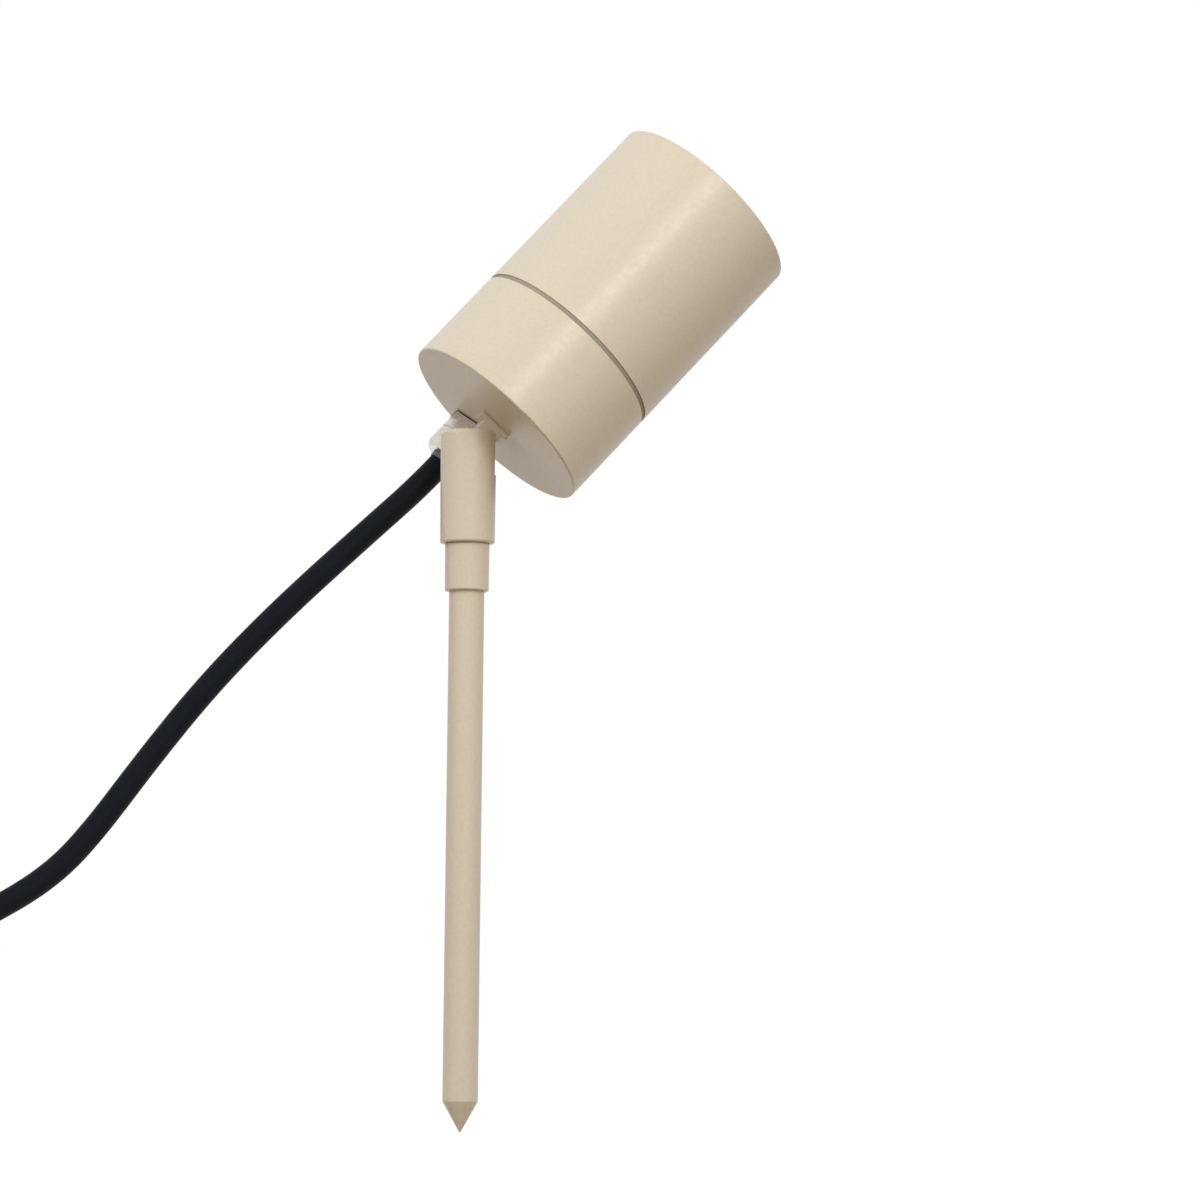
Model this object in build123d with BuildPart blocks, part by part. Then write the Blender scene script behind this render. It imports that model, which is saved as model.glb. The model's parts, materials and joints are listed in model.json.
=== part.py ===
from build123d import *
import os
from math import cos, pi, radians, sin, sqrt, tan

# Garden spike spotlight with a tilting cylindrical head.
# Millimetres. The origin is on the spike's axis where its cone begins, Z points up,
# X is the side that the head leans to, and Y runs along the tilt axis.

os.makedirs("parts", exist_ok=True)

# ---- driving dimensions -------------------------------------------------------------------

# Clearances between mating pieces
RUN = 0.05  # radial, between pieces that turn or slide on each other
SEAT = 0.01  # radial, between pieces that are pressed or screwed together
EASE = 0.2  # a screw or an insert in its plain hole

# Spike: a round bar with a turned point and a thinner shank that the collar and stem take
SPIKE_R = 5.05
SHANK_R = 4.5
SHANK_TOP_Z = 174.0
CONE_LENGTH = 8.6
TIP_R = 0.25

# Collar that stops the stem on the spike
COLLAR_Z = 145.2
COLLAR_LENGTH = 13.7
COLLAR_R = 6.37
COLLAR_FOOT_R = 6.3
COLLAR_EDGE = 0.3

# Stem: a turned barrel with a blind bore below and above a slot that opens to the head's side
STEM_Z = COLLAR_Z + COLLAR_LENGTH
STEM_TOP_Z = 191.4
STEM_FOOT_R = 7.85
STEM_TOP_R = 8.0
STEM_TOP_EDGE = 1.4
STEM_FOOT_EDGE = 0.7
STEM_BORE_TOP_Z = 174.5
FORK_FLOOR_Z = 178.5
FORK_EDGE = 0.3

# Grub screw that clamps the spike
GRUB_Z = 166.0
GRUB_R = 2.0
GRUB_LENGTH = 2.8
GRUB_KEY_R = 1.1
GRUB_KEY_DEPTH = 1.4

# Pivot
PIVOT_Z = 185.5
PIVOT_R = 2.0
PIVOT_SEAT_Y = 5.5  # floor of the counterbore in the far cheek
PIVOT_END_Y = -6.9  # end of the thread in the near cheek
PIVOT_HEAD_R = 3.7
PIVOT_HEAD_H = 1.6
PIVOT_WASHER = 0.6
PIVOT_POCKET_R = 4.0
PIVOT_KEY_R = 1.7
PIVOT_KEY_DEPTH = 1.0
BUSH_R = 2.8

# Tilt bracket: a flat bar with an eye round the pivot, a neck, and a flange against the head
BRACKET_HALF = 3.8
BRACKET_R = 5.07
BRACKET_NECK_HALF = 3.4
BRACKET_FLANGE_HALF = 5.1
BRACKET_FLANGE = 1.7
BRACKET_EDGE = 0.3
EYE_AIR = 0.3

# Head: its axis leans up from the horizontal, and its back face is one arm away from the pivot
HEAD_ELEVATION = 47.33
HEAD_ARM = 10.8
HEAD_OFFSET_Y = -2.0
HEAD_WALL = 3.0
BACK_EDGE = 0.47
FRONT_EDGE = 0.3
CAP_LENGTH = 29.6
CAP_FLOOR = 6.0
SEAM = 1.4
SEAM_DEPTH = 0.3
SPIGOT_LENGTH = 10.4
SPIGOT_WALL = 2.4
SPIGOT_TAPER = 2.5

# Screw that holds the bracket from inside the cap
BRACKET_SCREW_R = 2.5
BRACKET_SCREW_GRIP = 6.5
BRACKET_SCREW_HEAD_R = 4.25
BRACKET_SCREW_HEAD_H = 3.0
BRACKET_SCREW_KEY_R = 2.3
BRACKET_SCREW_KEY_DEPTH = 2.0
BRACKET_SEAL = 1.0
BRACKET_SEAL_R = 4.6

# Front glass, its gasket and its retaining ring
LIP_STEP = 1.5
LIP = 2.5
LIP_BEVEL = 1.0
LENS_GASKET = 0.6
LENS = 4.0
LENS_EDGE = 0.3
LENS_RING = 2.5
LENS_RING_WIDTH = 2.4
LENS_RING_NOTCH = 3.0

# Reflector lamp with a twist-and-lock base
LAMP_R = 25.0
LAMP_AIR = 2.0
LAMP_GAP = 2.2
LAMP_BOWL = 35.2
LAMP_RIM = 4.2
LAMP_WALL = 1.3
LAMP_WAIST_R = 14.2
LAMP_FLANK_R = 20.4
LAMP_FLANK_RISE = 12.0
LAMP_LENS = 2.5
LAMP_LENS_LEDGE = 1.0
LAMP_BASE_R = 12.5
LAMP_BASE_LENGTH = 10.9
LAMP_BASE_GAP = 0.3
PIN_CIRCLE_R = 5.0
PIN_R = 1.25
PIN_LENGTH = 7.0
PIN_HEAD_R = 2.5
PIN_HEAD = 2.6
LAMP_TURN = 20.0

# Lamp holder, its contacts and its bracket
HOLDER_R = 14.0
HOLDER_RISE = 14.8
HOLDER_LENGTH = 12.0
HOLDER_ROOF = 2.0
HOLDER_FLAT_T = -11.0
HOLDER_FLOOR = 3.8
CONTACT_INSET = 0.4
STRAP = 1.5
STRAP_WIDTH = 12.0
STRAP_AIR = 3.0
STRAP_FOOT = 8.0
STRAP_SCREW_OUT = 3.5
STRAP_SCREW_R = 1.5
STRAP_SCREW_GRIP = 3.5
STRAP_SCREW_HEAD_R = 2.75
STRAP_SCREW_HEAD_H = 1.8
STRAP_SCREW_KEY_R = 1.3
STRAP_SCREW_KEY_DEPTH = 1.0

# Terminal block and wires
BLOCK_LENGTH = 22.0
BLOCK_WIDTH = 10.0
BLOCK_HEIGHT = 11.0
BLOCK_INSET = 12.0
BLOCK_PITCH = 7.0
BLOCK_SCREW_R = 2.0
BLOCK_SCREW = 1.5
BLOCK_SLOT = 0.7
WIRE_R = 1.1
WIRE_BEND = 2.5
WIRE_S = 10.0  # height at which wires enter the block
WIRE_SPREAD_R = 1.6
LIVE_CORE_TURN = 270.0
CORE_STEP = 120.0
EARTH_BESIDE_GLAND = 13.3
EARTH_FROM_GLAND = 8.0
EARTH_R = 1.8
EARTH_GRIP = 5.0
EARTH_LUG_R = 3.3
EARTH_LUG = 2.3
EARTH_HEAD_H = 1.6
EARTH_KEY_R = 1.5
EARTH_KEY_DEPTH = 1.0
LEAD_LOOP_INSET = 4.0
LEAD_ABOVE_HOLDER_FOOT = 1.7

# Cable gland on the back face
GLAND_M = -1.7
GLAND_INSET = 9.0
GLAND_TURN = 21.0
GLAND_THREAD_R = 5.9
GLAND_ORING = 0.5
GLAND_ORING_R = 6.8
GLAND_HEX_R = 8.35
GLAND_HEX = 2.4
GLAND_HEX_EDGE = 0.4
GLAND_DRUM_R = 7.25
GLAND_DRUM = 2.5
GLAND_NECK_R = 6.8
GLAND_NECK = 0.5
GLAND_SLEEVE_R = 5.6
GLAND_SLEEVE = 5.1
GLAND_SEAL_R = 5.0
GLAND_BORE_R = 3.9
NUT_LENGTH = 6.7
NUT_NOSE_R = 6.25
NUT_NOSE = 1.4
NUT_MOUTH_R = 4.1
NUT_ROOF = 0.8
SEAL_NOSE_R = 3.9
SEAL_REACH = 14.3
SEAL_ROOT = 4.0
SEAL_EDGE = 0.15
SEAL_SHOULDER = 0.8

# Cord: it leaves the gland, sags to the ground that the spike's tip stands on, and is put away
CORD_R = 3.6
CORD_GRIP = 0.02
TAIL_INSIDE = 9.0
GROUND_Z = -CONE_LENGTH
FIRST_RUN = 10.0
# X and Z of the bends that the cord makes in its upright plane, from the gland outwards
CORD_BENDS = [
    (-23.5, 164.7),
    (-50.0, 139.8),
    (-70.7, 117.8),
    (-87.7, 96.1),
    (-102.8, 75.3),
    (-114.0, 62.9),
    (-130.0, 52.3),
]
# X, Z and drift along Y of the bends after it
CORD_DESCENT = [
    (-162.0, 36.4, 0.8),
    (-199.0, 18.8, 3.0),
]
CORD_LANDING_X = -231.0
CORD_LAST_RUN = 34.0
BEND_SHARE = 0.45  # share of the shorter run that a bend's arc takes up

# Hank of put-away cord: two layers of long loops, wound inwards and then outwards
HANK_R = 29.9
HANK_STEP = 8.1
HANK_LOOPS = 2
HANK_LEFT_X = -274.5
HANK_RUN = 99.0
HANK_TOP_Y = 24.4
WAIST_DRAW = 8.0
LEAD_STRAIGHT = 14.0
LEAD_BEND = 45.0
TIE = 1.0
TIE_GAP = 0.3
TIE_WIDTH = 12.0

# Plug: round body with two pins and two side contacts, lying past the hank
PLUG_R = 19.0
PLUG_Y = 8.8
PLUG_DRUM = 22.0
PLUG_LENGTH = 40.0
PLUG_BACK_R = 9.0
PLUG_EDGE = 1.2
PLUG_RELIEF = 26.0
PLUG_RELIEF_R = 7.0
PLUG_RELIEF_TIP_R = 4.7
RELIEF_RIBS = 5
RELIEF_GROOVE = 1.6
RELIEF_GROOVE_DEPTH = 1.0
PLUG_PIN_R = 2.4
PLUG_PIN_LENGTH = 19.0
PLUG_PIN_SPACING = 19.0
PLUG_PIN_ROOT = 4.0
CLIP_WIDTH = 7.0
CLIP = 1.0
CLIP_LENGTH = 14.0
CLIP_RECESS = 2.6

# ---- derived places -----------------------------------------------------------------------

UP = (Align.CENTER, Align.CENTER, Align.MIN)
DOWN = (Align.CENTER, Align.CENTER, Align.MAX)

lean = radians(HEAD_ELEVATION)
along = Vector(cos(lean), 0, sin(lean))  # the way that the head shines
across = Vector(sin(lean), 0, -cos(lean))  # square to it, downwards
pivot = Vector(0, 0, PIVOT_Z)
back_centre = pivot + along * HEAD_ARM + Vector(0, HEAD_OFFSET_Y, 0)

# In the head's own frame x is across, y is along the tilt axis and z is along the head's axis
head_plane = Plane(origin=back_centre, x_dir=across, z_dir=along)
head_section = Plane(origin=back_centre, x_dir=across, z_dir=(0, -1, 0))
head_axis = Axis(back_centre, along)

BRACKET_T = -HEAD_OFFSET_Y
HEAD_BORE_R = LAMP_R + LAMP_AIR
HEAD_R = HEAD_BORE_R + HEAD_WALL
BLOCK_T = BLOCK_INSET - HEAD_BORE_R
EARTH_M = GLAND_M - EARTH_BESIDE_GLAND
LEAD_LOOP_T = LEAD_LOOP_INSET - HEAD_BORE_R
TUBE_S = CAP_LENGTH + SEAM
SPIGOT_R = HEAD_BORE_R - RUN
SPIGOT_BORE_R = SPIGOT_R - SPIGOT_WALL
HOLDER_S = CAP_FLOOR + HOLDER_RISE
HOLDER_TOP_S = HOLDER_S + HOLDER_LENGTH
HOLDER_CAVITY_S = HOLDER_S + HOLDER_FLOOR
STRAP_LEG_M = HOLDER_R + STRAP_AIR
STRAP_SCREW_M = STRAP_LEG_M + STRAP_SCREW_OUT
LEAD_S = HOLDER_S + LEAD_ABOVE_HOLDER_FOOT
LAMP_BASE_S = HOLDER_TOP_S + LAMP_BASE_GAP
LAMP_WAIST_S = LAMP_BASE_S + LAMP_BASE_LENGTH
LAMP_FRONT_S = LAMP_WAIST_S + LAMP_BOWL
LAMP_FLANK = (LAMP_FLANK_R, LAMP_WAIST_S + LAMP_FLANK_RISE)
LIP_R = HEAD_BORE_R - LIP_STEP
LENS_R = HEAD_BORE_R - EASE
LENS_RING_BORE_R = HEAD_BORE_R - LENS_RING_WIDTH
RING_S = LAMP_FRONT_S + LAMP_GAP
LENS_S = RING_S + LENS_RING
LENS_TOP_S = LENS_S + LENS
LIP_S = LENS_TOP_S + LENS_GASKET
HEAD_LENGTH = LIP_S + LIP
FORK_HALF = BRACKET_HALF + RUN
GLAND_T = HEAD_R - GLAND_INSET
EARTH_T = GLAND_T - EARTH_FROM_GLAND
GLAND_END_S = -(GLAND_ORING + GLAND_HEX + GLAND_DRUM + GLAND_NECK)
CORD_Y = HEAD_OFFSET_Y + GLAND_T


def on_head(x, y, s, facing_back=False):
    """Plane at a place in the head's frame, facing the front or the back."""
    way = along * -1 if facing_back else along
    return Plane(origin=head_plane.from_local_coords((x, y, s)), x_dir=across, z_dir=way)


def head_point(x, y, s):
    """World position of a place in the head's frame."""
    return head_plane.from_local_coords(Vector(x, y, s))


def save(builder, name):
    """Label one piece and write its STEP file."""
    builder.part.label = name
    export_step(builder.part, f"parts/{name}.step")


def socket_screw(seat, shank_r, length, head_r, head_h, key_r, key_depth):
    """Screw with its head on the seat plane's front side and its shank behind."""
    with BuildPart() as screw:
        with Locations(seat):
            Cylinder(head_r, head_h, align=UP)
            Cylinder(shank_r, length, align=DOWN)
        with BuildSketch(seat.offset(head_h)):
            RegularPolygon(key_r, 6)
        extrude(amount=-key_depth, mode=Mode.SUBTRACT)
    return screw


def tube_along(points, bend_radii, radius):
    """Round tube on straight runs joined by tangent arcs."""
    with BuildPart() as tube:
        with BuildLine() as route:
            FilletPolyline(*points, radius=bend_radii)
        wire = route.wires()[0]
        with BuildSketch(Plane(origin=wire @ 0, z_dir=wire % 0)):
            Circle(radius)
        sweep(path=wire)
    return tube, wire.length


def turned(section, axis, points):
    """Solid of revolution from a closed outline of radius and height pairs."""
    with BuildPart() as piece:
        with BuildSketch(section):
            with BuildLine():
                Polyline(*points, close=True)
            make_face()
        revolve(axis=axis)
    return piece


# ---- spike --------------------------------------------------------------------------------

spike = turned(
    Plane.XZ,
    Axis.Z,
    [
        (0, -CONE_LENGTH),
        (TIP_R, -CONE_LENGTH),
        (SPIKE_R, 0),
        (SPIKE_R, COLLAR_Z),
        (SHANK_R, COLLAR_Z),
        (SHANK_R, SHANK_TOP_Z),
        (0, SHANK_TOP_Z),
    ],
)
save(spike, "spike")

with BuildPart() as spike_collar:
    with Locations((0, 0, COLLAR_Z)):
        Cone(COLLAR_FOOT_R, COLLAR_R, COLLAR_LENGTH, align=UP)
    chamfer(spike_collar.edges().filter_by(GeomType.CIRCLE), COLLAR_EDGE)
    with Locations((0, 0, STEM_Z)):
        Hole(SHANK_R + SEAT)
save(spike_collar, "spike_collar")

# ---- stem and pivot -----------------------------------------------------------------------

with BuildPart() as stem:
    with Locations((0, 0, STEM_Z)):
        Cone(STEM_FOOT_R, STEM_TOP_R, STEM_TOP_Z - STEM_Z, align=UP)
    fillet(stem.edges().filter_by(GeomType.CIRCLE).sort_by(Axis.Z)[-1], STEM_TOP_EDGE)
    fillet(stem.edges().filter_by(GeomType.CIRCLE).sort_by(Axis.Z)[0], STEM_FOOT_EDGE)
    with Locations((0, 0, STEM_Z)):
        Cylinder(SHANK_R + RUN, STEM_BORE_TOP_Z - STEM_Z, align=UP, mode=Mode.SUBTRACT)
    with Locations((-BRACKET_R - EYE_AIR, 0, FORK_FLOOR_Z)):
        Box(
            4 * STEM_TOP_R,
            2 * FORK_HALF,
            STEM_TOP_Z,
            align=(Align.MIN, Align.CENTER, Align.MIN),
            mode=Mode.SUBTRACT,
        )
    fork_tops = stem.edges().group_by(Axis.Z)[-1].filter_by(GeomType.LINE)
    chamfer(fork_tops, FORK_EDGE)
    with Locations(Plane(origin=(0, PIVOT_END_Y, PIVOT_Z), z_dir=(0, 1, 0))):
        Cylinder(PIVOT_R + SEAT, PIVOT_SEAT_Y - PIVOT_END_Y, align=UP, mode=Mode.SUBTRACT)
    with Locations(Plane(origin=(0, PIVOT_SEAT_Y, PIVOT_Z), z_dir=(0, 1, 0))):
        Cylinder(PIVOT_POCKET_R, STEM_TOP_R, align=UP, mode=Mode.SUBTRACT)
    with Locations(Plane(origin=(0, SHANK_R, GRUB_Z), z_dir=(0, 1, 0))):
        Cylinder(GRUB_R + SEAT, STEM_TOP_R, align=UP, mode=Mode.SUBTRACT)
save(stem, "stem")

grub_face = Plane(origin=(0, SHANK_R + RUN, GRUB_Z), z_dir=(0, 1, 0))
with BuildPart() as stem_grub_screw:
    with Locations(grub_face):
        Cylinder(GRUB_R, GRUB_LENGTH, align=UP)
    with BuildSketch(grub_face.offset(GRUB_LENGTH)):
        RegularPolygon(GRUB_KEY_R, 6)
    extrude(amount=-GRUB_KEY_DEPTH, mode=Mode.SUBTRACT)
save(stem_grub_screw, "stem_grub_screw")

pivot_seat = Plane(origin=(0, PIVOT_SEAT_Y, PIVOT_Z), z_dir=(0, 1, 0))
with BuildPart() as pivot_washer:
    with Locations(pivot_seat):
        Cylinder(PIVOT_HEAD_R, PIVOT_WASHER, align=UP)
        Cylinder(PIVOT_R + SEAT, PIVOT_WASHER, align=UP, mode=Mode.SUBTRACT)
save(pivot_washer, "pivot_washer")

pivot_screw = socket_screw(
    pivot_seat.offset(PIVOT_WASHER),
    PIVOT_R,
    PIVOT_SEAT_Y + PIVOT_WASHER - PIVOT_END_Y,
    PIVOT_HEAD_R,
    PIVOT_HEAD_H,
    PIVOT_KEY_R,
    PIVOT_KEY_DEPTH,
)
save(pivot_screw, "pivot_screw")

tilt_plane = Plane(origin=pivot, x_dir=across, z_dir=(0, -1, 0))  # its y is along the head
with BuildPart() as pivot_bush:
    with BuildSketch(tilt_plane):
        Circle(BUSH_R)
        Circle(PIVOT_R + RUN, mode=Mode.SUBTRACT)
    extrude(amount=BRACKET_HALF, both=True)
save(pivot_bush, "pivot_bush")

# ---- tilt bracket -------------------------------------------------------------------------

with BuildPart() as tilt_bracket:
    with BuildSketch(tilt_plane):
        Circle(BRACKET_R)
        Rectangle(2 * BRACKET_NECK_HALF, HEAD_ARM, align=(Align.CENTER, Align.MIN))
        with Locations((0, HEAD_ARM)):
            Rectangle(2 * BRACKET_FLANGE_HALF, BRACKET_FLANGE, align=(Align.CENTER, Align.MAX))
    extrude(amount=BRACKET_HALF, both=True)
    for cheek in (tilt_bracket.faces().sort_by(Axis.Y)[0], tilt_bracket.faces().sort_by(Axis.Y)[-1]):
        chamfer(cheek.edges(), BRACKET_EDGE)
    with BuildSketch(tilt_plane):
        Circle(BUSH_R + SEAT)
    extrude(amount=BRACKET_R, both=True, mode=Mode.SUBTRACT)
    with Locations(on_head(0, BRACKET_T, 0)):
        Hole(BRACKET_SCREW_R + SEAT, BRACKET_SCREW_GRIP)
save(tilt_bracket, "tilt_bracket")

with BuildPart() as bracket_seal:
    with Locations(on_head(0, BRACKET_T, CAP_FLOOR)):
        Cylinder(BRACKET_SEAL_R, BRACKET_SEAL, align=UP)
        Cylinder(BRACKET_SCREW_R + SEAT, BRACKET_SEAL, align=UP, mode=Mode.SUBTRACT)
save(bracket_seal, "bracket_seal")

bracket_screw = socket_screw(
    on_head(0, BRACKET_T, CAP_FLOOR + BRACKET_SEAL),
    BRACKET_SCREW_R,
    CAP_FLOOR + BRACKET_SEAL + BRACKET_SCREW_GRIP,
    BRACKET_SCREW_HEAD_R,
    BRACKET_SCREW_HEAD_H,
    BRACKET_SCREW_KEY_R,
    BRACKET_SCREW_KEY_DEPTH,
)
save(bracket_screw, "bracket_screw")

# ---- head shells --------------------------------------------------------------------------

back_cap = turned(
    head_section,
    head_axis,
    [
        (0, 0),
        (HEAD_R, 0),
        (HEAD_R, CAP_LENGTH),
        (SPIGOT_R, CAP_LENGTH),
        (SPIGOT_R, CAP_LENGTH + SPIGOT_LENGTH),
        (SPIGOT_BORE_R, CAP_LENGTH + SPIGOT_LENGTH),
        (SPIGOT_BORE_R, CAP_LENGTH - HEAD_WALL),
        (HEAD_BORE_R, CAP_LENGTH - HEAD_WALL - SPIGOT_TAPER),
        (HEAD_BORE_R, CAP_FLOOR),
        (0, CAP_FLOOR),
    ],
)
with back_cap:
    fillet(back_cap.edges().filter_by(GeomType.CIRCLE).sort_by(head_axis)[0], BACK_EDGE)
    with Locations(on_head(0, BRACKET_T, CAP_FLOOR)):
        Hole(BRACKET_SCREW_R + EASE, CAP_FLOOR)
    with Locations(on_head(GLAND_M, GLAND_T, CAP_FLOOR)):
        Hole(GLAND_THREAD_R + SEAT, CAP_FLOOR)
    with Locations(on_head(EARTH_M, EARTH_T, CAP_FLOOR)):
        Hole(EARTH_R + SEAT, EARTH_GRIP)
    for side in (-1, 1):
        with Locations(on_head(side * STRAP_SCREW_M, 0, CAP_FLOOR)):
            Hole(STRAP_SCREW_R + SEAT, STRAP_SCREW_GRIP)
save(back_cap, "back_cap")

seam_gasket = turned(
    head_section,
    head_axis,
    [
        (SPIGOT_R + SEAT, CAP_LENGTH),
        (HEAD_R - SEAM_DEPTH, CAP_LENGTH),
        (HEAD_R - SEAM_DEPTH, TUBE_S),
        (SPIGOT_R + SEAT, TUBE_S),
    ],
)
save(seam_gasket, "seam_gasket")

front_tube = turned(
    head_section,
    head_axis,
    [
        (HEAD_BORE_R, TUBE_S),
        (HEAD_R, TUBE_S),
        (HEAD_R, HEAD_LENGTH),
        (LIP_R, HEAD_LENGTH),
        (LIP_R, LIP_S),
        (HEAD_BORE_R, LIP_S),
    ],
)
with front_tube:
    rims = front_tube.edges().filter_by(GeomType.CIRCLE).group_by(head_axis)[-1].sort_by(SortBy.RADIUS)
    fillet(rims[-1], FRONT_EDGE)
    chamfer(rims[0], LIP_BEVEL)
save(front_tube, "front_tube")

lens_gasket = turned(
    head_section,
    head_axis,
    [(LIP_R, LENS_TOP_S), (LENS_R, LENS_TOP_S), (LENS_R, LIP_S), (LIP_R, LIP_S)],
)
save(lens_gasket, "lens_gasket")

with BuildPart() as front_lens:
    with Locations(on_head(0, 0, LENS_S)):
        Cylinder(LENS_R, LENS, align=UP)
    chamfer(front_lens.edges().filter_by(GeomType.CIRCLE), LENS_EDGE)
save(front_lens, "front_lens")

lens_ring = turned(
    head_section,
    head_axis,
    [
        (LENS_RING_BORE_R, RING_S),
        (HEAD_BORE_R - SEAT, RING_S),
        (HEAD_BORE_R - SEAT, LENS_S),
        (LENS_RING_BORE_R, LENS_S),
    ],
)
with lens_ring:
    with BuildSketch(on_head(0, 0, RING_S)) as notches:
        with PolarLocations(LENS_RING_BORE_R, 4):
            Rectangle(LENS_RING_NOTCH, LENS_RING_NOTCH)
    extrude(notches.sketch, amount=LENS_RING / 2, mode=Mode.SUBTRACT)
save(lens_ring, "lens_ring")

# ---- lamp ---------------------------------------------------------------------------------

lamp_inner_r = LAMP_R - LAMP_WALL - LAMP_LENS_LEDGE
with BuildPart() as lamp_shell:
    with BuildSketch(head_section):
        with BuildLine():
            Polyline((0, LAMP_WAIST_S), (LAMP_WAIST_R, LAMP_WAIST_S))
            ThreePointArc(
                (LAMP_WAIST_R, LAMP_WAIST_S),
                LAMP_FLANK,
                (LAMP_R, LAMP_FRONT_S - LAMP_RIM),
            )
            Polyline(
                (LAMP_R, LAMP_FRONT_S - LAMP_RIM),
                (LAMP_R, LAMP_FRONT_S),
                (LAMP_R - LAMP_WALL, LAMP_FRONT_S),
                (LAMP_R - LAMP_WALL, LAMP_FRONT_S - LAMP_LENS),
                (lamp_inner_r, LAMP_FRONT_S - LAMP_LENS),
                (lamp_inner_r, LAMP_FRONT_S - LAMP_RIM),
            )
            ThreePointArc(
                (lamp_inner_r, LAMP_FRONT_S - LAMP_RIM),
                (LAMP_FLANK[0] - 2 * LAMP_WALL, LAMP_FLANK[1] + LAMP_WALL),
                (LAMP_WAIST_R - 2 * LAMP_WALL, LAMP_WAIST_S + LAMP_WALL),
            )
            Polyline(
                (LAMP_WAIST_R - 2 * LAMP_WALL, LAMP_WAIST_S + LAMP_WALL),
                (0, LAMP_WAIST_S + LAMP_WALL),
                (0, LAMP_WAIST_S),
            )
        make_face()
    revolve(axis=head_axis)
save(lamp_shell, "lamp_shell")

with BuildPart() as lamp_lens:
    with Locations(on_head(0, 0, LAMP_FRONT_S - LAMP_LENS)):
        Cylinder(LAMP_R - LAMP_WALL - SEAT, LAMP_LENS, align=UP)
save(lamp_lens, "lamp_lens")

with BuildPart() as lamp_base:
    with Locations(on_head(0, 0, LAMP_BASE_S)):
        Cone(LAMP_BASE_R, LAMP_WAIST_R, LAMP_WAIST_S - LAMP_BASE_S, align=UP)
save(lamp_base, "lamp_base")

with BuildPart() as lamp_pins:
    for side in (-1, 1):
        with Locations(on_head(side * PIN_CIRCLE_R, 0, LAMP_BASE_S - PIN_LENGTH)):
            Cylinder(PIN_R, PIN_LENGTH, align=UP)
            Cylinder(PIN_HEAD_R, PIN_HEAD, align=UP)
save(lamp_pins, "lamp_pins")

# ---- lamp holder --------------------------------------------------------------------------


pin_arcs = [CenterArc((0, 0), PIN_CIRCLE_R, start, LAMP_TURN) for start in (0, 180)]


def arc_slots(s, half_width):
    """Sketch of the two curved slots that the lamp's pins turn in."""
    with BuildSketch(on_head(0, 0, s)) as slots:
        for arc in pin_arcs:
            SlotArc(arc, 2 * half_width)
    return slots


with BuildPart() as lamp_holder:
    with BuildSketch(on_head(0, 0, HOLDER_S)):
        Circle(HOLDER_R)
        with Locations((0, HOLDER_FLAT_T)):
            Rectangle(2 * HOLDER_R, HOLDER_R, align=(Align.CENTER, Align.MAX), mode=Mode.SUBTRACT)
    extrude(amount=HOLDER_TOP_S - HOLDER_S)
    cavity = arc_slots(HOLDER_CAVITY_S, PIN_HEAD_R + EASE)
    cavity_depth = HOLDER_TOP_S - HOLDER_ROOF - HOLDER_CAVITY_S
    extrude(cavity.sketch, amount=cavity_depth, dir=along, mode=Mode.SUBTRACT)
    keyway = arc_slots(HOLDER_TOP_S - HOLDER_ROOF, PIN_R + EASE)
    extrude(keyway.sketch, amount=HOLDER_ROOF, dir=along, mode=Mode.SUBTRACT)
    with Locations(on_head(0, 0, HOLDER_TOP_S)):
        with PolarLocations(PIN_CIRCLE_R, 2, start_angle=LAMP_TURN):
            Hole(PIN_HEAD_R + EASE, HOLDER_ROOF)
save(lamp_holder, "lamp_holder")

with BuildPart() as holder_contacts:
    pads = arc_slots(HOLDER_CAVITY_S, PIN_HEAD_R - CONTACT_INSET)
    extrude(pads.sketch, amount=LAMP_BASE_S - PIN_LENGTH - HOLDER_CAVITY_S, dir=along)
save(holder_contacts, "holder_contacts")

with BuildPart() as holder_bracket:
    with BuildSketch(on_head(0, 0, HOLDER_S - STRAP)):
        Rectangle(2 * STRAP_LEG_M, STRAP_WIDTH)
    extrude(amount=STRAP)
    for side in (-1, 1):
        with Locations(on_head(side * (STRAP_LEG_M - STRAP / 2), 0, CAP_FLOOR)):
            Box(STRAP, STRAP_WIDTH, HOLDER_S - CAP_FLOOR - STRAP, align=UP)
        with Locations(on_head(side * (STRAP_LEG_M + STRAP_FOOT / 2 - STRAP), 0, CAP_FLOOR)):
            Box(STRAP_FOOT, STRAP_WIDTH, STRAP, align=UP)
        with Locations(on_head(side * STRAP_SCREW_M, 0, CAP_FLOOR + STRAP)):
            Hole(STRAP_SCREW_R + EASE, STRAP)
save(holder_bracket, "holder_bracket")

for side, name in ((-1, "holder_screw_a"), (1, "holder_screw_b")):
    strap_screw = socket_screw(
        on_head(side * STRAP_SCREW_M, 0, CAP_FLOOR + STRAP),
        STRAP_SCREW_R,
        STRAP + STRAP_SCREW_GRIP,
        STRAP_SCREW_HEAD_R,
        STRAP_SCREW_HEAD_H,
        STRAP_SCREW_KEY_R,
        STRAP_SCREW_KEY_DEPTH,
    )
    save(strap_screw, name)

# ---- terminal block, wires and earth screw --------------------------------------------------

block_top_s = CAP_FLOOR + BLOCK_HEIGHT
screw_places = [(side * BLOCK_PITCH, BLOCK_T) for side in (-1, 0, 1)]
with BuildPart() as terminal_block:
    with Locations(on_head(0, BLOCK_T, CAP_FLOOR)):
        Box(BLOCK_LENGTH, BLOCK_WIDTH, BLOCK_HEIGHT, align=UP)
    for x, y in screw_places:
        with Locations(on_head(x, y, block_top_s)):
            Hole(BLOCK_SCREW_R + SEAT, BLOCK_SCREW)
save(terminal_block, "terminal_block")

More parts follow.
